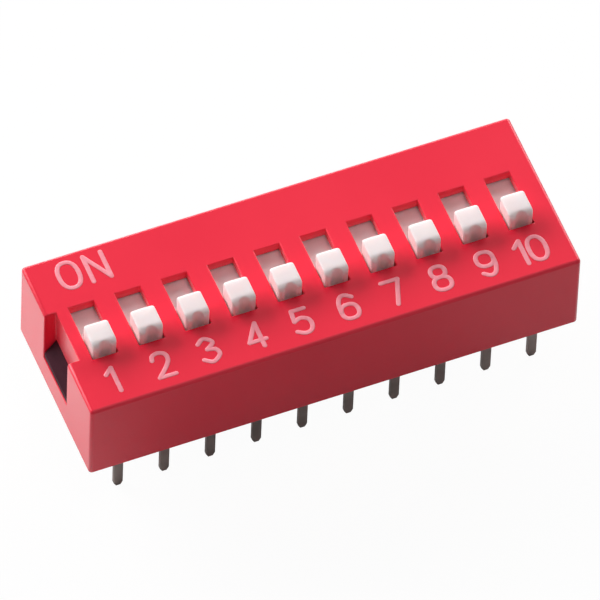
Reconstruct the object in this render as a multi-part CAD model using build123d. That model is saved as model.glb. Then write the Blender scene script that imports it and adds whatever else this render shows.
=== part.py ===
from build123d import *
import os

# A ten-way slide switch for a circuit board, in millimetres.
# The origin is the middle of the footprint on the board's surface. X runs from
# position 1 to position 10, Y from OFF to ON, and Z up, away from the board.
# All ten sliders stand at OFF.

# Grid
positions = 10
pitch = 2.54
row_spacing = 7.62  # between the two rows of pins

# Heights, stacked from the board's surface up
rim_lift = 0.1  # the cover's rim stays clear of the board
floor_height = 2.4  # the base's floor, up to the underside of the contact pads
strip_thickness = 0.25  # the sheet that the terminals are stamped from
contact_room = 1.45  # from the pads up to the slider's flange
flange_thickness = 0.65
top_wall = 0.6

# Gaps
run_gap = 0.05  # on each side of a piece that slides
fit_gap = 0.05  # between the base and the cover around it
slit_gap = 0.02  # between a terminal and the base that holds it
contact_gap = 0.03  # under the spring's tips
cheek_gap = 0.1  # under the cheeks that flank the spring

# Slider
knob_width = 1.3
knob_length = 1.5
knob_proud = 0.9  # above the cover's top
knob_front_round = 0.55  # rounding of the knob's top, towards the numbers
knob_back_round = 0.2
knob_corner = 0.2  # bevel of its four upright edges
scoop_radius = 0.33  # hollow for a pen's tip, in the knob's front
scoop_depth = 0.36
travel = 1.85  # the knob stops against either end of its slot
slot_shift = -0.075  # the slots lie a little nearer the numbers than the middle
flange_lap = 0.2  # flange hidden under the slot's edge
flange_corner = 0.15
carrier_width = 1.5
carrier_margin = 0.15  # carrier beyond the spring's ends
cheek = 0.25
seat_drop = 0.8  # from the flange down to the spring's seat
peg_side = 0.4  # square peg that the spring is hung on
peg_length = 0.25

# Contact spring
spring_thickness = 0.1
spring_width = 0.9
spring_half = 1.35  # from the middle to either end
tip_reach = 1.0  # from the middle to either pair of tips
tip_flat = 0.24  # short foot that a tip slides on
web_half = 0.35  # flat part, up to the bend
tail_rise = 0.15  # how far the ends turn up
spring_bend = 0.15
fork_slot = 0.2  # parts each arm into two tips
fork_start = 0.6
peg_gap = 0.05  # on each side of the peg, in the spring's hole

# Terminals
pin_width = 0.5
pin_length = 3.2  # below the board's surface
pin_taper = 0.12
pad_width = 1.0
pad_neck = 0.3  # from the blade in to where the pad widens
terminal_bend = 0.15
island = 0.8  # plain floor between the two pads of a position

# Walls
side_wall = 0.7
end_wall = 1.07
slit_wall = 0.215  # base left outside each blade
edge_round = 0.2
corner_round = 0.2
rim_lead = 0.15  # lead-in inside the cover's rim

# Latch, in a notch at the first end and in a plain window at the other
notch_width = 3.2
notch_depth = 0.65
sill_height = 1.8
latch_height = 1.2
latch_nose = 0.35  # height of the latch's blunt tip
latch_flat = 0.45  # level top, before the ramp starts
latch_inset = 0.05  # tip behind the cover's end face

# Heights that follow
pad_top = floor_height + strip_thickness
flange_bottom = pad_top + contact_room
flange_top = flange_bottom + flange_thickness
ceiling = flange_top + run_gap
cover_top = ceiling + top_wall
seat_height = flange_bottom - seat_drop
knob_top = cover_top + knob_proud
window_top = sill_height + latch_height + 2 * fit_gap

# Widths, along X
slot_width = knob_width + 2 * run_gap
flange_width = slot_width + 2 * flange_lap
channel_width = flange_width + 2 * run_gap
partition = pitch - channel_width
cavity_length = (positions - 1) * pitch + channel_width
cover_length = cavity_length + 2 * end_wall
base_length = cavity_length - 2 * fit_gap

# Depths, along Y
base_width = row_spacing + strip_thickness + 2 * slit_wall
cavity_width = base_width + 2 * fit_gap
cover_width = cavity_width + 2 * side_wall
slot_length = knob_length + travel + 2 * run_gap
flange_length = cavity_width - travel - 2 * run_gap
carrier_length = 2 * (spring_half + carrier_margin)

# Places along Y of the back terminals; the front ones mirror them
blade_y = row_spacing / 2
pad_inner = island / 2
pad_outer = blade_y - strip_thickness / 2 - pad_neck

# Places along Y with the sliders at OFF
flange_y = -travel / 2
knob_y = flange_y + slot_shift
spring_y = -travel  # the spring spans both pads once the slider is at ON


def place(index):
    """X of one position, counted from 0."""
    return (index - (positions - 1) / 2) * pitch


def block(width, depth, low, high, y=0.0):
    """A box between two heights, centred on X and on the given Y."""
    return Pos(0, y, low) * Box(
        width, depth, high - low, align=(Align.CENTER, Align.CENTER, Align.MIN)
    )


def upright(solid):
    """The vertical edges of a solid."""
    return solid.edges().filter_by(Axis.Z)


def latch_profile():
    """The latch seen from the front: a ramp on top, flat below, growing along +X."""
    reach = fit_gap + end_wall - latch_inset
    low = sill_height + fit_gap
    high = low + latch_height
    root = -2 * fit_gap  # sunk in the base's own end, to be one piece with it
    return Polyline(
        (root, low),
        (reach, low),
        (reach, low + latch_nose),
        (latch_flat, high),
        (root, high),
        close=True,
    )


def latch():
    """The latch at the +X end, in place."""
    face = Plane.XZ * make_face(latch_profile())
    width = notch_width - 2 * fit_gap
    wedge = Pos(base_length / 2, 0, 0) * extrude(face, width / 2, both=True)
    return wedge


def cover():
    """The moulded shell: slots in its top, a notch and two latch windows in its ends."""
    shell = block(cover_length, cover_width, rim_lift, cover_top)
    shell = fillet(upright(shell), corner_round)
    shell = fillet(shell.faces().sort_by(Axis.Z)[-1].edges(), edge_round)
    cavity = block(cavity_length, cavity_width, rim_lift, ceiling)
    shell -= cavity
    rim = shell.faces().sort_by(Axis.Z)[0].inner_wires()[0]
    shell = chamfer(rim.edges(), rim_lead)

    slot = block(slot_width, slot_length, ceiling - top_wall, cover_top + top_wall, slot_shift)
    for index in range(positions):
        shell -= Pos(place(index), 0, 0) * slot

    # The notch lets the mould's core reach the window under it from above
    notch = block(2 * notch_depth, notch_width, sill_height, cover_top + top_wall)
    shell -= Pos(-cover_length / 2, 0, 0) * notch
    window = block(4 * end_wall, notch_width, sill_height, window_top)
    for end in (-1, 1):
        shell -= Pos(end * cover_length / 2, 0, 0) * window
    return shell


def terminal():
    """One terminal of the +Y row, bent from strip, its pin tapered at the tip."""
    path = FilletPolyline(
        (blade_y, -pin_length),
        (blade_y, pad_top - strip_thickness / 2),
        (pad_inner, pad_top - strip_thickness / 2),
        radius=terminal_bend + strip_thickness / 2,
    )
    blank = extrude(Plane.YZ * trace(path, strip_thickness), pin_width / 2, both=True)
    tip = blank.faces().sort_by(Axis.Z)[0]
    blank = chamfer(tip.edges().filter_by(Axis.Y), 2 * pin_taper, pin_taper)
    pad_middle = (pad_outer + pad_inner) / 2
    return blank + block(pad_width, pad_outer - pad_inner, floor_height, pad_top, pad_middle)


def terminal_pocket():
    """What one terminal of the +Y row takes out of the base: a slit and a bed for its pad."""
    inner = blade_y - strip_thickness / 2 - slit_gap
    outer = blade_y + strip_thickness / 2 + slit_gap
    low = floor_height - slit_gap
    high = pad_top + strip_thickness
    outline = Polyline(
        (outer, -strip_thickness),
        (outer, high),
        (pad_inner - slit_gap, high),
        (pad_inner - slit_gap, low),
        (inner - terminal_bend, low),
        (inner, low - terminal_bend),
        (inner, -strip_thickness),
        close=True,
    )
    slit_width = pin_width + 2 * slit_gap
    slit = extrude(Plane.YZ * make_face(outline), slit_width / 2, both=True)
    bed_length = pad_outer - pad_inner + 2 * slit_gap
    bed_middle = (pad_outer + pad_inner) / 2
    return slit + block(pad_width + 2 * slit_gap, bed_length, low, high, bed_middle)


def base():
    """The moulded floor with a channel for each slider and a latch at each end."""
    body = block(base_length, base_width, 0, pad_top)
    body = fillet(upright(body), corner_round)
    wall = block(partition, base_width, pad_top, flange_top)
    for index in range(positions - 1):
        body += Pos(place(index) + pitch / 2, 0, 0) * wall
    body += latch()
    body += mirror(latch(), Plane.YZ)
    pockets = terminal_pocket() + mirror(terminal_pocket(), Plane.XZ)
    for index in range(positions):
        body -= Pos(place(index), 0, 0) * pockets
    return body


def knob():
    """The part that a finger or a pen moves: rounded on top, with a scoop in its front."""
    foot = flange_top - flange_thickness / 2
    height = knob_top - foot
    plan = chamfer(Rectangle(knob_width, knob_length).vertices(), knob_corner)
    scoop_y = scoop_depth - scoop_radius - knob_length / 2
    side_view = Rectangle(knob_length, height)
    top_back = side_view.vertices().sort_by(Axis.Y)[-2:].sort_by(Axis.X)[-1]
    side_view = fillet(top_back, knob_back_round)
    top_front = side_view.vertices().sort_by(Axis.Y)[-2:].sort_by(Axis.X)[0]
    side_view = fillet(top_front, knob_front_round)
    rounded = extrude(Plane.YZ * side_view, knob_width, both=True)
    # Plan and scoop reach from the board to past the top, so the side view alone ends the knob
    stem = extrude(plan, 2 * knob_top) & Pos(0, 0, foot + height / 2) * rounded
    stem -= Pos(0, scoop_y, 0) * extrude(Circle(scoop_radius), 2 * knob_top)
    return Pos(0, knob_y, 0) * stem


def slider():
    """One slider at OFF: knob, flange under the slot, and carrier for the spring."""
    flange = block(flange_width, flange_length, flange_bottom, flange_top)
    flange = chamfer(upright(flange), flange_corner)
    body = Pos(0, flange_y, 0) * flange + knob()
    cheek_bottom = pad_top + cheek_gap
    body += block(carrier_width, carrier_length, cheek_bottom, flange_bottom, spring_y)
    pocket_width = carrier_width - 2 * cheek
    body -= block(
        pocket_width, 2 * carrier_length, cheek_bottom - cheek_gap, seat_height, spring_y
    )
    peg = block(peg_side, peg_side, seat_height - peg_length, seat_height, spring_y)
    return body + peg


def contact_spring():
    """The spring that the slider carries: two forked arms on a flat web."""
    web = seat_height - spring_thickness / 2
    tip = pad_top + contact_gap + spring_thickness / 2
    arm = [
        (web_half, web),
        (tip_reach - tip_flat / 2, tip),
        (tip_reach + tip_flat / 2, tip),
        (spring_half, tip + tail_rise),
    ]
    other_arm = [(-y, z) for y, z in reversed(arm)]
    path = FilletPolyline(*other_arm, *arm, radius=spring_bend)
    strip = Plane.YZ * trace(path, spring_thickness)
    leaf = extrude(strip, spring_width / 2, both=True)
    fork = block(fork_slot, 2 * (spring_half - fork_start), pad_top, seat_height)
    leaf -= Pos(0, spring_half, 0) * fork
    leaf -= Pos(0, -spring_half, 0) * fork
    hole_side = peg_side + 2 * peg_gap
    leaf -= Pos(0, 0, web) * Box(hole_side, hole_side, 4 * spring_thickness)
    return Pos(0, spring_y, 0) * leaf


def main():
    back_terminal = terminal()
    repeated = {
        "slider": slider(),
        "contact_spring": contact_spring(),
        "front_terminal": mirror(back_terminal, Plane.XZ),
        "back_terminal": back_terminal,
    }
    nodes = {"cover": cover(), "base": base()}
    for name, piece in repeated.items():
        for index in range(positions):
            nodes[f"{name}_{index + 1:02d}"] = Pos(place(index), 0, 0) * piece

    os.makedirs("parts", exist_ok=True)
    for name, piece in nodes.items():
        export_step(piece, f"parts/{name}.step")


main()
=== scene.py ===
# %% [markdown]
# # A ten-way slide switch for a circuit board
# The solids of this switch are drawn elsewhere, to size, and this script gives them their looks:
# soft mould edges, the finish of each material, the printed legend and a small studio to show them
# in.
#
# Everything is in metres and in the solids' own frame. X runs from position 1 to position 10, Y
# from OFF to ON, and Z up from the circuit board. Loading comes first, because every later step
# asks the solids where things are. Two small helpers are made along with it: one prints a box, and
# one puts an object in the scene.

# %% Load the solids
import math

import bmesh
import bpy
from mathutils import Matrix, Vector


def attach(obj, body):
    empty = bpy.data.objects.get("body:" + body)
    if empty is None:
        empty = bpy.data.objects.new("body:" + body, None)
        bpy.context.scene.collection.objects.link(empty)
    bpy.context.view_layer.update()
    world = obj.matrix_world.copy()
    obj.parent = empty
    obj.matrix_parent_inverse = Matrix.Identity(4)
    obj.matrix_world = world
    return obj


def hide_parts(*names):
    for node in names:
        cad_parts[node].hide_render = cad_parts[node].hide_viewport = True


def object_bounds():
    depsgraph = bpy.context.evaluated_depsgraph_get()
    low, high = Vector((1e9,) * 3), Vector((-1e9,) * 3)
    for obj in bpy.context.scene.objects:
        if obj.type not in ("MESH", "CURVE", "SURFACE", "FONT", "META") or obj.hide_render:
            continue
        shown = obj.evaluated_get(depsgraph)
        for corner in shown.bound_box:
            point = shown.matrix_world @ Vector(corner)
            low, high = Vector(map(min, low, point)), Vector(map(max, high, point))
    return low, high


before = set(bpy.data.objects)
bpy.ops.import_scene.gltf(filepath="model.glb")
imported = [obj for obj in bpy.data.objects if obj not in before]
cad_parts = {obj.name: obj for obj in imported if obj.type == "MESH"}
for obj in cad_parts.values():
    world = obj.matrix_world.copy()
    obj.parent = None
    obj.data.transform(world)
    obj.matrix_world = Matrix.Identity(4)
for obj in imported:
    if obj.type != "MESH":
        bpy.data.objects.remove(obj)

MM = 0.001
cad_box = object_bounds()


def in_mm(box):
    """A box's two corners in millimetres, for printing."""
    return [[round(v / MM, 2) for v in corner] for corner in box]


def show(name, data):
    """A new object in the scene, with this name and data."""
    made = bpy.data.objects.new(name, data)
    bpy.context.scene.collection.objects.link(made)
    return made


print("solids:", len(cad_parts), "box in mm:", in_mm(cad_box))

# %% [markdown]
# ## The camera
# The picture was taken from a little left of the front and from well above, with a long lens:
# edges that are parallel on the switch stay nearly parallel. A camera 0.8 m away with a very long
# lens gives that. Its directions are worked out from the two angles and a small roll, and it is
# moved sideways rather than shifted, so that views from other sides stay centred too.

# %% Place the camera
AZIMUTH, ELEVATION, ROLL = (math.radians(a) for a in (-23.964, 54.2, 2.563))
DISTANCE = 0.8
LENS, SENSOR = 936.4, 36  # millimetres, as on a real camera
SLIDE = (0.068 * MM, 1.31 * MM)  # to the right and up, to centre the switch as in the picture

back = Vector((
    math.sin(AZIMUTH) * math.cos(ELEVATION),
    -math.cos(AZIMUTH) * math.cos(ELEVATION),
    math.sin(ELEVATION),
))
level = Vector((math.cos(AZIMUTH), math.sin(AZIMUTH), 0))
above = back.cross(level)
right = level * math.cos(ROLL) + above * math.sin(ROLL)
up = above * math.cos(ROLL) - level * math.sin(ROLL)

camera_data = bpy.data.cameras.new("camera")
camera_data.lens = LENS
camera_data.sensor_width = SENSOR
camera = show("camera", camera_data)
turn = Matrix((right, up, back)).transposed().to_4x4()
spot = back * DISTANCE + right * SLIDE[0] + up * SLIDE[1]
camera.matrix_world = Matrix.Translation(spot) @ turn
bpy.context.scene.camera = camera
bpy.context.scene.view_settings.view_transform = "Standard"
print("camera at", [round(v, 3) for v in camera.location])

# %% [markdown]
# ## Helpers for materials
# Colours are written as the hex values that a paint program shows, and one function turns them
# into the linear light that the renderer works in. A second small function adds a node to a
# material, sets it and links it, with an input's number in place of its name where a node has
# several of one name. Pattern sizes are real sizes: a noise texture of scale 1000 / mm has
# features that many millimetres across.

# %% Colour, node and pattern size
def linear(code):
    """The linear RGBA of an sRGB hex colour."""
    parts = [int(code[i:i + 2], 16) / 255 for i in (1, 3, 5)]
    lights = [c / 12.92 if c <= 0.04045 else ((c + 0.055) / 1.055) ** 2.4 for c in parts]
    return (*lights, 1.0)


def add(tree, kind, settings=None, links=None):
    """Adds a shader node: settings are its inputs' values or its options, links their sources."""
    made = tree.nodes.new("ShaderNode" + kind)
    for name, value in (settings or {}).items():
        if isinstance(name, int) or name in made.inputs:
            made.inputs[name].default_value = value
        else:
            setattr(made, name, value)
    for name, source in (links or {}).items():
        tree.links.new(source, made.inputs[name])
    return made


def per(mm):
    """The texture scale whose features are this many millimetres across."""
    return 1 / (mm * MM)


def empty_material(name):
    """A new material and its node tree, with no node in it."""
    material = bpy.data.materials.new(name)
    material.use_nodes = True
    material.node_tree.nodes.clear()
    return material, material.node_tree


NOISE_SPAN = (0.3, 0.7)  # where nearly all values of a noise lie


def ramp(tree, source, tones):
    """Runs from one hex colour to another along a noise."""
    made = add(tree, "ValToRGB", links={"Fac": source})
    for element, position, code in zip(made.color_ramp.elements, NOISE_SPAN, tones):
        element.position = position
        element.color = linear(code)
    return made.outputs["Color"]


def between(tree, source, low, high):
    """A number that follows a pattern of 0 to 1, from low to high."""
    made = add(tree, "MapRange", {"To Min": low, "To Max": high}, {"Value": source})
    return made.outputs["Result"]


print("a mid red in linear light:", [round(c, 3) for c in linear("#C02030")])

# %% [markdown]
# ## The studio: a white ground
# The picture is a catalogue picture on pure white. The ground is a plain white floor under the
# pins' tips. The camera sees it almost as a white light, whatever falls on it, and a small share
# of it as it is lit, which keeps a trace of the switch's shadow. Nearly all other rays see
# ordinary white paper, so it brightens the switch from below as paper would, and the red skin
# mirrors it at low angles. The world adds nothing to what is lit, and only gives glossy surfaces a
# bright room to mirror.

# %% Floor and world
FLOOR_Z = cad_box[0].z
FLOOR_SIZE = 3.0
PAPER_SEEN, PAPER_MIRRORED = 0.95, 0.05  # shares of plain white, for the camera and for mirrors
PAPER_WHITE = 1.01  # a hair over white, to make up for the lit share

floor_mesh = bpy.data.meshes.new("floor")
half = FLOOR_SIZE / 2
corners = [(x, y, FLOOR_Z) for x, y in ((-half, -half), (half, -half), (half, half), (-half, half))]
floor_mesh.from_pydata(corners, [], [(0, 1, 2, 3)])
floor = show("floor", floor_mesh)

paper, tree = empty_material("white_paper_ground")
rays = add(tree, "LightPath").outputs
mirrors = {0: rays["Is Glossy Ray"], 1: rays["Is Transmission Ray"]}
mirrored = add(tree, "Math", {"operation": "ADD"}, mirrors)
direct = add(tree, "Math", {"operation": "MULTIPLY", 1: PAPER_SEEN}, {0: rays["Is Camera Ray"]})
shares = {0: mirrored.outputs[0], 2: direct.outputs[0]}
share = add(tree, "Math", {"operation": "MULTIPLY_ADD", 1: PAPER_MIRRORED}, shares)
lit = add(tree, "BsdfDiffuse", {"Color": linear("#F4F4F4")})
white = add(tree, "Emission", {"Color": linear("#FFFFFF"), "Strength": PAPER_WHITE})
kinds = {0: share.outputs[0], 1: lit.outputs[0], 2: white.outputs[0]}
mixed = add(tree, "MixShader", links=kinds)
add(tree, "OutputMaterial", links={"Surface": mixed.outputs[0]})
floor_mesh.materials.append(paper)

MIRRORED_ROOM = 1.1  # how bright the room is in a glossy surface
world = bpy.data.worlds.new("studio")
bpy.context.scene.world = world
world.use_nodes = True
tree = world.node_tree
tree.nodes.clear()
rays = add(tree, "LightPath").outputs
mirrored = between(tree, rays["Is Glossy Ray"], 0.0, MIRRORED_ROOM)
seen = {"Value": rays["Is Camera Ray"], "To Min": mirrored}
strength = add(tree, "MapRange", {"To Max": 1.0}, seen).outputs["Result"]
sky = add(tree, "Background", {"Color": linear("#FFFFFF")}, {"Strength": strength})
add(tree, "OutputWorld", links={"Surface": sky.outputs[0]})

print("floor at", round(FLOOR_Z / MM, 2), "mm")

# %% [markdown]
# ## The studio: softboxes
# The knobs' shadows tell where the light comes from. They make a soft dark band in front of the
# knobs, two millimetres wide, and the front face of the cover is dark: so most of the light comes
# low from behind, over a wide arc. The left end is bright, so more of it comes from the left. The
# white plates deep in the slots aren't black, so some light falls from high up. Five softboxes do
# this, each given by the way it shines from and by its power. The power for the same light on the
# top face grows as the lamp goes down, by one over the sine of its height angle.

# %% Lamps
LAMP_DISTANCE = 0.6


def lamp(name, azimuth, elevation, size, energy):
    """A softbox that points at the switch, so many degrees left of straight behind and up."""
    data = bpy.data.lights.new(name, "AREA")
    data.shape = "RECTANGLE"
    data.size, data.size_y = size
    data.energy = energy
    made = show(name, data)
    a, e = math.radians(azimuth), math.radians(elevation)
    towards = Vector((-math.sin(a) * math.cos(e), math.cos(a) * math.cos(e), math.sin(e)))
    made.location = towards * LAMP_DISTANCE
    made.rotation_mode = "QUATERNION"
    made.rotation_quaternion = towards.to_track_quat("Z", "Y")


# Name, degrees left of straight behind, degrees up, metres wide and high, watts
lamp("back_left_softbox", 36, 27, (0.45, 0.25), 3.0)
lamp("low_back_strip", 10, 16, (0.5, 0.2), 2.25)
lamp("back_right_softbox", -45, 24, (0.4, 0.25), 1.87)
lamp("front_softbox", 180, 64, (0.3, 0.3), 0.48)
lamp("overhead_softbox", -90, 80, (0.3, 0.3), 0.29)
watts = sum(light.energy for light in bpy.data.lights)
print("lamps:", len(bpy.data.lights), "watts:", round(watts, 2))

# %% [markdown]
# ## Softened edges
# No moulded edge is perfectly sharp: the cutter that made the mould leaves a radius of a few
# hundredths of a millimetre, and it is this radius that catches the light. The solids have sharp
# edges, because their drawing is simpler that way. A Bevel modifier rounds every sharp edge
# without touching the solid's own mesh. Before it, Weld joins the corners that the file keeps
# apart and Decimate turns the small flat triangles back into whole faces.

# %% Round the edges of the solids
JOINED = 0.0005 * MM  # corners nearer to each other than this are one corner
SHARP = math.radians(35)  # an edge that turns more than this gets rounded
ROUND_STEPS = 3


def soften(node, radius):
    """Rounds a solid's sharp edges, with modifiers."""
    weld = node.modifiers.new("weld", "WELD")
    weld.merge_threshold = JOINED
    flat = node.modifiers.new("whole_faces", "DECIMATE")
    flat.decimate_type = "DISSOLVE"
    flat.angle_limit = math.radians(0.5)
    edge = node.modifiers.new("edge", "BEVEL")
    edge.width = radius
    edge.segments = ROUND_STEPS
    edge.limit_method = "ANGLE"
    edge.angle_limit = SHARP
    edge.use_clamp_overlap = True
    smooth = node.modifiers.new("shading", "WEIGHTED_NORMAL")
    smooth.keep_sharp = False


RADII = {
    "cover": 0.06 * MM,
    "base": 0.05 * MM,
    "front_terminal": 0.03 * MM,
    "back_terminal": 0.03 * MM,
    "contact_spring": 0.015 * MM,
}


def family(name):
    """The kind of piece that a node's name says, without its number."""
    return name.rstrip("0123456789").rstrip("_")


for name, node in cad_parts.items():
    if family(name) in RADII:
        soften(node, RADII[family(name)])
print("rounded:", sum(bool(n.modifiers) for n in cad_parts.values()), "solids")

# %% [markdown]
# ## Red cover: PBT, injection moulded in a spark-eroded mould
# The cover is one moulding of red PBT, a tough polyester that keeps its shape while the pins are
# soldered. Sparks ate the steel of its mould, and left tiny craters that print a satin skin on the
# plastic: a soft, wide highlight, and a mirror only at a low angle, which is why the left end
# looks pink beside the white ground.
#
# One shader does this. Its base colour is a deep red that drifts a little, as pigment does in a
# moulding, a fine noise bumps it like the craters, and a thin coat adds the pale mirror image at
# low angles. The same function then makes the other two plastics, because a mould gives them the
# same kind of skin.

# %% Satin red PBT
def moulded_plastic(
    name, tones, drift_mm, grain_mm, grain_height, roughness,
    ior=1.5, level=0.5, tint="#FFFFFF", subsurface=None, coat=None,
):
    """A moulded plastic: tones drift slowly over the skin, and a fine grain roughens it."""
    material, tree = empty_material(name)
    place = add(tree, "TexCoord").outputs["Object"]
    slow, fine = {"Scale": per(drift_mm), "Detail": 3.0}, {"Scale": per(grain_mm), "Detail": 2.0}
    drift = add(tree, "TexNoise", slow, {"Vector": place}).outputs["Fac"]
    grain = add(tree, "TexNoise", fine, {"Vector": place}).outputs["Fac"]
    bump = add(tree, "Bump", {"Strength": 1.0, "Distance": grain_height}, {"Height": grain})
    shader = add(
        tree,
        "BsdfPrincipled",
        {"IOR": ior, "Specular IOR Level": level, "Specular Tint": linear(tint)},
        {
            "Base Color": ramp(tree, drift, tones),
            "Roughness": between(tree, drift, *roughness),
            "Normal": bump.outputs["Normal"],
        },
    )
    if subsurface:
        weight, radius = subsurface
        shader.inputs["Subsurface Weight"].default_value = weight
        shader.inputs["Subsurface Radius"].default_value = radius
        shader.inputs["Subsurface Scale"].default_value = MM
    for socket, value in (coat or {}).items():
        shader.inputs["Coat " + socket].default_value = value
    add(tree, "OutputMaterial", links={"Surface": shader.outputs["BSDF"]})
    return material


def dress(kind, material):
    """Gives a material to every solid of one kind."""
    found = [n for name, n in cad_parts.items() if family(name) == kind]
    for node in found:
        node.data.materials.clear()
        node.data.materials.append(material)
    print(kind, len(found), material.name)


# Satin red PBT from a spark-eroded mould: the eye sees a deep even red with a broad soft sheen.
# The real craters are some 0.02 mm wide, too fine for the render, so the grain is drawn at 0.12 mm
# and very shallow.
red = moulded_plastic(
    "satin_red_PBT_moulded", ("#F3223E", "#F72741"), drift_mm=6, grain_mm=0.12,
    grain_height=0.003 * MM, roughness=(0.3, 0.36), ior=1.57, tint="#FF4058",
    coat={"Weight": 1.0, "Roughness": 0.25, "IOR": 1.3},
)
dress("cover", red)

# %% [markdown]
# ## Black base: glass-filled PBT, injection moulded
# The base holds all the metal. Short glass fibres in its PBT keep it flat and its ten channels
# straight while hot solder wets the pins. The fibres end just under the skin, which makes it matt
# and slightly uneven. Carbon black colours it, and beside the red cover it picks up a little red
# light.
#
# Only a patch of it shows, inside the notch of the left end, so the plastic of the cover is used
# again with a coarser grain, a rougher skin and hardly any mirror image. Its two tones are a very
# dark wine colour rather than a neutral black: the red in them is painted red light, thrown on the
# black from the cover.

# %% Matt black PBT
# Matt black with glass fibres: the eye sees a dull, faintly speckled dark skin with no highlight.
# The wine red of its two tones is painted red light from the cover.
black = moulded_plastic(
    "matt_black_glass_filled_PBT", ("#36111E", "#401926"), drift_mm=0.8, grain_mm=0.15,
    grain_height=0.006 * MM, roughness=(0.5, 0.62), level=0.08,
)
dress("base", black)

# %% [markdown]
# ## White sliders: acetal, injection moulded
# Acetal is the slippery plastic of small gears and zips, and it slides in its slot for thousands
# of strokes without grease. It is milky: light goes in, spreads for a few tenths of a millimetre
# and comes out again, so the shadow in a knob's hollow is soft and slightly warm. Its waxy skin
# has a satin sheen.
#
# Plain white would look like chalk here. A little subsurface scattering gives the milk, and the
# base colour has a breath of pink: painted red light, as the red all round the knobs throws on
# them.

# %% White acetal
# Milky satin white: the eye sees bright rounded tops that fade softly into their shaded fronts.
# The pink in its two tones is painted red light from the cover.
acetal = moulded_plastic(
    "white_acetal_moulded", ("#F8E8E9", "#FCF0F0"), drift_mm=1.2, grain_mm=0.1,
    grain_height=0.002 * MM, roughness=(0.32, 0.42), subsurface=(0.6, (0.8, 0.65, 0.6)),
)

# %% [markdown]
# ## Terminals and springs: plated strip, stamped
# A terminal is punched from rolled brass strip and plated with tin, which solder wets well. Fresh
# tin is bright, but a switch from a drawer has a dull grey bloom with faint lines from the rolls
# along each pin. A contact spring is punched from phosphor bronze, which stays springy, and plated
# with gold, so that its forks never tarnish.
#
# Both are the same surface in two colours: a metal whose colour drifts like a bloom and whose
# roughness and bump follow long, narrow streaks.

# %% Metals
ROLLED = (1.0, 0.15, 0.15)  # a pin's streaks are long in Y and Z, the way the strip was rolled
BLOOM_MM = 1.2
LINE_DEPTH = 0.002 * MM


def plated_metal(name, tones, streak_mm, roughness):
    """A plated strip: fine rolling lines along the strip, and a colour that drifts a little."""
    material, tree = empty_material(name)
    place = add(tree, "TexCoord").outputs["Object"]
    stretched = add(tree, "Mapping", {"Scale": ROLLED}, {"Vector": place}).outputs["Vector"]
    lines, clouds = ({"Scale": per(mm), "Detail": 3.0} for mm in (streak_mm, BLOOM_MM))
    streak = add(tree, "TexNoise", lines, {"Vector": stretched}).outputs["Fac"]
    bloom = add(tree, "TexNoise", clouds, {"Vector": place}).outputs["Fac"]
    bump = add(tree, "Bump", {"Strength": 1.0, "Distance": LINE_DEPTH}, {"Height": streak})
    shader = add(
        tree,
        "BsdfPrincipled",
        {"Metallic": 1.0},
        {
            "Base Color": ramp(tree, bloom, tones),
            "Roughness": between(tree, streak, *roughness),
            "Normal": bump.outputs["Normal"],
        },
    )
    add(tree, "OutputMaterial", links={"Surface": shader.outputs["BSDF"]})
    return material


# Dulled tin on brass gives the eye a soft grey metal, and gold on bronze a warm, smoother one.
# Rolling lines are finer than 0.01 mm, and are drawn some eight times as coarse so that they show
# at all.
tin = plated_metal(
    "dulled_tin_plated_brass", ("#7E7571", "#958B86"), streak_mm=0.08, roughness=(0.3, 0.45),
)
gold = plated_metal(
    "gold_plated_phosphor_bronze", ("#D9A441", "#E6B65A"), streak_mm=0.06, roughness=(0.2, 0.3),
)
dress("front_terminal", tin)
dress("back_terminal", tin)
dress("contact_spring", gold)

# %% [markdown]
# ## Printing ink: white, pad-printed
# The legend is a film of white ink only about a hundredth of a millimetre thick. White ink that
# thin never hides a strong red, so the signs look pink, a little paler where the film is thicker.
#
# It could be made half clear, but the export keeps a plain colour better. It is not made half
# clear: the ink is opaque, its two pinks are mixed already, and a fine noise drifts between them
# as an uneven film does. Its skin is flatter than the cover's.

# %% Thin white ink
# Thin white ink over red: the eye sees a soft pink with slightly uneven cover
BLOTCH_MM = 0.25
ink, tree = empty_material("thin_white_pad_print_ink")
place = add(tree, "TexCoord").outputs["Object"]
blotches = {"Scale": per(BLOTCH_MM), "Detail": 4.0}
film = add(tree, "TexNoise", blotches, {"Vector": place}).outputs["Fac"]
tone = ramp(tree, film, ("#FF8C9A", "#FFA3AF"))
shader = add(tree, "BsdfPrincipled", {"IOR": 1.5, "Roughness": 0.45}, {"Base Color": tone})
add(tree, "OutputMaterial", links={"Surface": shader.outputs["BSDF"]})

# %% [markdown]
# ## The sliders' knobs
# A knob is what a finger or a pen's tip pushes: 1.3 mm wide, with a round hollow in its front for
# the pen, and rounded down towards the numbers so that the pen finds the hollow. Its corners are
# round and its edges soft, which three bevels one after another would only muddle. Its plan is
# simple, though: for each x it runs from one front edge to one back edge. So the top is a grid,
# fine where the plan curves, and one formula lowers it near the plan's edge and towards the front
# and the back.

# %% Plan of a knob, in millimetres from its middle
KNOB_HALF = (0.65, 0.75)
CORNER = 0.2
SCOOP_RADIUS, SCOOP_DEPTH = 0.33, 0.28
SCOOP_Y = SCOOP_DEPTH - SCOOP_RADIUS - KNOB_HALF[1]
FRONT_ROUND, BACK_ROUND = 0.4, 0.12
LIP = 0.05  # rounding of the edge all round the top
ROW_COUNT = 20


def back_edge(x):
    """Y of the knob's back at x."""
    beyond = max(0.0, abs(x) - (KNOB_HALF[0] - CORNER))
    return KNOB_HALF[1] - CORNER + math.sqrt(max(0.0, CORNER ** 2 - beyond ** 2))


def front_edge(x):
    """Y of the knob's front at x, with the hollow in its middle."""
    if abs(x) >= SCOOP_RADIUS:
        return -back_edge(x)
    return max(-back_edge(x), SCOOP_Y + math.sqrt(SCOOP_RADIUS ** 2 - x ** 2))


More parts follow.
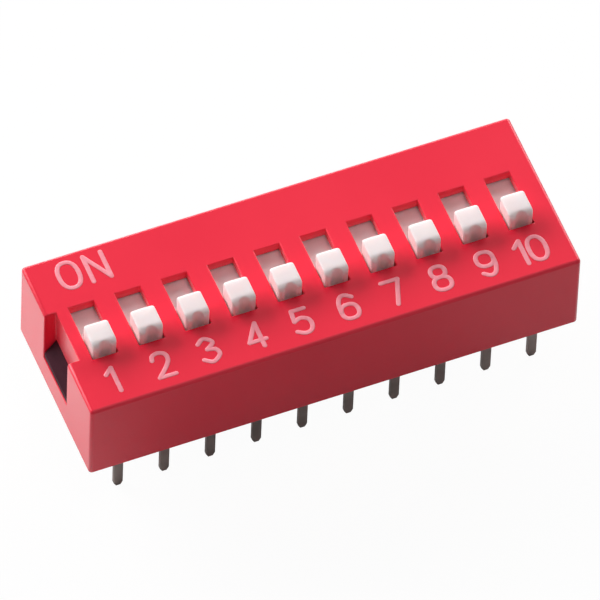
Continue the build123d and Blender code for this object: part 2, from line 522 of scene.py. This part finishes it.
def inside(x, y):
    """How far a point is inside the plan's edge."""
    reach_x, reach_y = abs(x) - KNOB_HALF[0] + CORNER, abs(y) - KNOB_HALF[1] + CORNER
    corner = math.hypot(max(reach_x, 0.0), max(reach_y, 0.0)) + min(max(reach_x, reach_y), 0.0)
    return min(CORNER - corner, math.hypot(x, y - SCOOP_Y) - SCOOP_RADIUS)


def top_height(x, y):
    """Height against the knob's highest point, for its rounded front and back and its lip."""
    height = 0.0
    for end, radius in ((-y, FRONT_ROUND), (y, BACK_ROUND)):
        beyond = min(radius, max(0.0, end - KNOB_HALF[1] + radius))
        height += math.sqrt(radius ** 2 - beyond ** 2) - radius
    lip = LIP - min(max(inside(x, y), 0.0), LIP)
    return height + math.sqrt(LIP ** 2 - lip ** 2) - LIP


def spread(count):
    """Values from 0 to 1 that crowd towards both ends."""
    return [(1 - math.cos(math.pi * i / count)) / 2 for i in range(count + 1)]


SCOOP_TURNS = range(-84, 85, 12)  # degrees round the hollow
CORNER_TURNS = (0, 22, 40, 56, 70, 81, 90)  # degrees round a corner, closer towards its side

scoop_columns = [SCOOP_RADIUS * math.sin(math.radians(a)) for a in SCOOP_TURNS]
corner_start = KNOB_HALF[0] - CORNER
corner_columns = [corner_start + CORNER * math.sin(math.radians(a)) for a in CORNER_TURNS]
COLUMNS = sorted([-x for x in corner_columns] + scoop_columns + corner_columns)
ROWS = spread(ROW_COUNT)
print("knob grid:", len(COLUMNS), "by", len(ROWS), "hollow to Y", round(front_edge(0), 2), "mm")

# %% [markdown]
# ## A whole slider
# The knob stands on the flange that the cover holds down, and under the flange is the carrier of
# the spring. These lower parts are plain, so they are cut from the slider's own solid, just under
# the flange's top, and their edges are bevelled. The knob's grid gets walls down into the flange,
# and both make one mesh that stands for the solid.

# %% Build the sliders
POSITIONS, PITCH = 10, 2.54  # millimetres, like the heights below
KNOB_Y, KNOB_TOP = -1.0, 6.3  # middle of a knob at OFF, and its highest point
FLANGE_TOP = 4.75
CUT = FLANGE_TOP - 0.001  # just under it, so that the cut takes the whole knob off
FOOT = FLANGE_TOP - 0.05
FLANGE_EDGE = 0.04 * MM
CREASE = math.radians(50)  # an edge that turns more than this stays a crease


def position_x(index):
    """X of a position in millimetres, counted from 0."""
    return (index - (POSITIONS - 1) / 2) * PITCH


def lower_half(node):
    """The flange and carrier of a slider, cut from its solid, with soft edges."""
    body = bmesh.new()
    body.from_mesh(node.data)
    bmesh.ops.remove_doubles(body, verts=body.verts, dist=JOINED)
    cut = bmesh.ops.bisect_plane(
        body, geom=body.verts[:] + body.edges[:] + body.faces[:],
        plane_co=(0, 0, CUT * MM), plane_no=(0, 0, 1), clear_outer=True,
    )
    rim = [e for e in cut["geom_cut"] if isinstance(e, bmesh.types.BMEdge)]
    bmesh.ops.holes_fill(body, edges=rim)
    flat = math.radians(1)
    bmesh.ops.dissolve_limit(body, angle_limit=flat, verts=body.verts, edges=body.edges)
    sharp = [e for e in body.edges if e.calc_face_angle(0) > SHARP]
    bmesh.ops.bevel(
        body, geom=sharp, offset=FLANGE_EDGE, segments=2, profile=0.5, affect="EDGES",
        clamp_overlap=True,
    )
    return body


def add_knob(body, x_middle):
    """Adds a knob's grid and walls to a mesh."""
    grid = []
    for x in COLUMNS:
        first, last = front_edge(x), back_edge(x)
        depths = [first + t * (last - first) for t in ROWS]
        column = [(x_middle + x, KNOB_Y + y, KNOB_TOP + top_height(x, y)) for y in depths]
        grid.append([body.verts.new(Vector(point) * MM) for point in column])
    for left, right in zip(grid, grid[1:]):
        for i in range(len(ROWS) - 1):
            body.faces.new((left[i], right[i], right[i + 1], left[i + 1]))
    ring = [column[0] for column in grid] + grid[-1][1:]
    ring += [column[-1] for column in reversed(grid[:-1])] + grid[0][-2:0:-1]
    foot = [body.verts.new((v.co.x, v.co.y, FOOT * MM)) for v in ring]
    for i, corner in enumerate(ring):
        j = (i + 1) % len(ring)
        body.faces.new((ring[j], corner, foot[i], foot[j]))
    body.faces.new(foot[::-1])


sliders = []
for index in range(POSITIONS):
    name = f"slider_{index + 1:02d}"
    body = lower_half(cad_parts[name])
    add_knob(body, position_x(index))
    bmesh.ops.recalc_face_normals(body, faces=body.faces)
    mesh = bpy.data.meshes.new(name + "_moulded")
    body.to_mesh(mesh)
    body.free()
    mesh.shade_smooth()
    mesh.set_sharp_from_angle(angle=CREASE)
    piece = show(name + "_moulded", mesh)
    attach(piece, f"switch_{index + 1:02d}")
    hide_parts(name)
    piece.data.materials.append(acetal)
    sliders.append(piece)
print("sliders:", len(sliders), "faces each:", len(sliders[0].data.polygons))

# %% [markdown]
# ## The legend
# The numbers and the word ON are pad-printed: a soft pad lifts a thin film of white ink from an
# etched plate and presses it on the cover. The film is so thin that the red shows through, so the
# ink looks pink. The signs are drawn as a draughtsman letters, with strokes of one width and round
# ends. Each stroke is a curve whose bevel makes it a tube, narrowed to nothing at its ends by the
# points' radii, and the tubes are then pressed flat to the ink's height.

# %% Strokes of each sign, in a box one wide and one high
STROKES = {
    "0": [("oval", (0.5, 0.5), (0.5, 0.5))],
    "1": [("line", (0.08, 0.76), (0.5, 1)), ("line", (0.5, 1), (0.5, 0))],
    "2": [("bend", (0.03, 0.76), (0.16, 0.94), (0.5, 1), (0.86, 0.9), (0.93, 0.68), (0.72, 0.43),
           (0.03, 0)),
          ("line", (0.03, 0), (1, 0))],
    "3": [("bend", (0.04, 0.84), (0.46, 1), (0.88, 0.77), (0.42, 0.54)),
          ("bend", (0.42, 0.54), (0.88, 0.46), (0.98, 0.22), (0.48, 0), (0, 0.16))],
    "4": [("line", (0.74, 1), (0.74, 0)), ("line", (0.74, 1), (0, 0.27)),
          ("line", (0, 0.27), (1, 0.27))],
    "5": [("line", (0.92, 1), (0.16, 1)), ("line", (0.16, 1), (0.08, 0.55)),
          ("bend", (0.08, 0.55), (0.5, 0.64), (0.9, 0.52), (0.98, 0.26), (0.78, 0.04), (0.4, 0),
           (0, 0.13))],
    "6": [("oval", (0.5, 0.3), (0.5, 0.3)),
          ("bend", (0, 0.3), (0.04, 0.66), (0.24, 0.94), (0.56, 1), (0.92, 0.86))],
    "7": [("line", (0, 1), (1, 1)), ("line", (1, 1), (0.42, 0))],
    "8": [("oval", (0.5, 0.77), (0.42, 0.23)), ("oval", (0.5, 0.27), (0.5, 0.27))],
    "O": [("oval", (0.5, 0.5), (0.5, 0.5))],
    "N": [("line", (0, 0), (0, 1)), ("line", (0, 1), (1, 0)), ("line", (1, 0), (1, 1))],
}
# A nine is a six turned half round
STROKES["9"] = [
    ("oval", (0.5, 0.7), (0.5, 0.3)),
    ("bend", *[(1 - u, 1 - v) for u, v in STROKES["6"][1][1:]]),
]
OVAL_POINTS, BEND_STEPS = 32, 8
FULLNESS = 0.85  # under 1, an oval gets the fuller shoulders of a printed nought


def squarish(wave):
    """A sine or cosine that swells a little."""
    return math.copysign(abs(wave) ** FULLNESS, wave)


def sampled(kind, points):
    """Points along a stroke: a straight line, an oval, or a smooth bend through its points."""
    if kind == "line":
        return points
    if kind == "oval":
        (u, v), (across, high) = points
        turns = [2 * math.pi * i / OVAL_POINTS for i in range(OVAL_POINTS)]
        waves = [(squarish(math.cos(t)), squarish(math.sin(t))) for t in turns]
        return [(u + across * x, v + high * y) for x, y in waves]
    path = []
    for i in range(len(points) - 1):
        p = [points[min(max(k, 0), len(points) - 1)] for k in range(i - 1, i + 3)]
        for t in (step / BEND_STEPS for step in range(BEND_STEPS)):
            pulls = (
                -t + 2 * t ** 2 - t ** 3,
                2 - 5 * t ** 2 + 3 * t ** 3,
                t + 4 * t ** 2 - 3 * t ** 3,
                t ** 3 - t ** 2,
            )
            u, v = (sum(pull * q[axis] for pull, q in zip(pulls, p)) / 2 for axis in (0, 1))
            path.append((u, v))
    return path + [points[-1]]


points_in_8 = sum(len(sampled(kind, points)) for kind, *points in STROKES["8"])
print("signs:", "".join(sorted(STROKES)), "points in an 8:", points_in_8)

# %% Ink one sign
INK_HEIGHT = 0.012
INK_WIDTH = 0.25
COVER_TOP = 5.4
END_TURNS = [math.radians(a) for a in (88, 70, 50, 30, 12)]
ROUND_END = [(math.sin(a), math.cos(a)) for a in END_TURNS]  # reach past the end, and radius there


def ink_sign(name, sign, foot_left, size):
    """Prints one sign on the cover's top, from its lower left corner, sized outside the ink."""
    half = INK_WIDTH / 2
    curve = bpy.data.curves.new(name, "CURVE")
    curve.dimensions = "3D"
    curve.bevel_depth = half * MM
    curve.bevel_resolution = 2
    for kind, *points in STROKES[sign]:
        left, low = (edge + half for edge in foot_left)
        wide, high = (side - INK_WIDTH for side in size)
        path = [Vector((left + u * wide, low + v * high, 0)) for u, v in sampled(kind, points)]
        marks = [(point, 1.0) for point in path]
        if kind != "oval":
            before = (path[0] - path[1]).normalized() * half
            after = (path[-1] - path[-2]).normalized() * half
            start = [(path[0] + before * reach, radius) for reach, radius in ROUND_END]
            end = [(path[-1] + after * reach, radius) for reach, radius in reversed(ROUND_END)]
            marks = start + marks + end
        spline = curve.splines.new("POLY")
        spline.points.add(len(marks) - 1)
        for dot, (point, radius) in zip(spline.points, marks):
            dot.co = (*(point * MM), 1)
            dot.radius = radius
        spline.use_cyclic_u = kind == "oval"
    source = bpy.data.objects.new(name, curve)
    mesh = bpy.data.meshes.new_from_object(source)
    bpy.data.objects.remove(source)
    pressed = Matrix.Diagonal((1, 1, INK_HEIGHT / half, 1))
    mesh.transform(Matrix.Translation((0, 0, COVER_TOP * MM)) @ pressed)
    mesh.shade_smooth()
    mesh.materials.append(ink)
    printed = show(name, mesh)
    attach(printed, "housing")


# %% Print the numbers and the word ON
DIGIT_SIZE, DIGIT_FOOT = (1.15, 1.74), -4.22
DIGIT_SHIFT = 0.05  # the digits stand this much to the left of their knobs
TEN = {"one": ("1", 10.3), "nought": ("0", 11.06)}  # its two digits and their left edges
LETTERS = {"O": (-12.0, 1.32), "N": (-10.42, 1.22)}  # left edge and width
LETTER_HEIGHT, LETTER_FOOT = 1.88, 2.6

for index in range(POSITIONS - 1):
    left = position_x(index) - DIGIT_SHIFT - DIGIT_SIZE[0] / 2
    ink_sign(f"legend_{index + 1:02d}", str(index + 1), (left, DIGIT_FOOT), DIGIT_SIZE)
for name, (sign, left) in TEN.items():
    ink_sign("legend_10_" + name, sign, (left, DIGIT_FOOT), DIGIT_SIZE)
for letter, (left, width) in LETTERS.items():
    ink_sign("legend_letter_" + letter, letter, (left, LETTER_FOOT), (width, LETTER_HEIGHT))
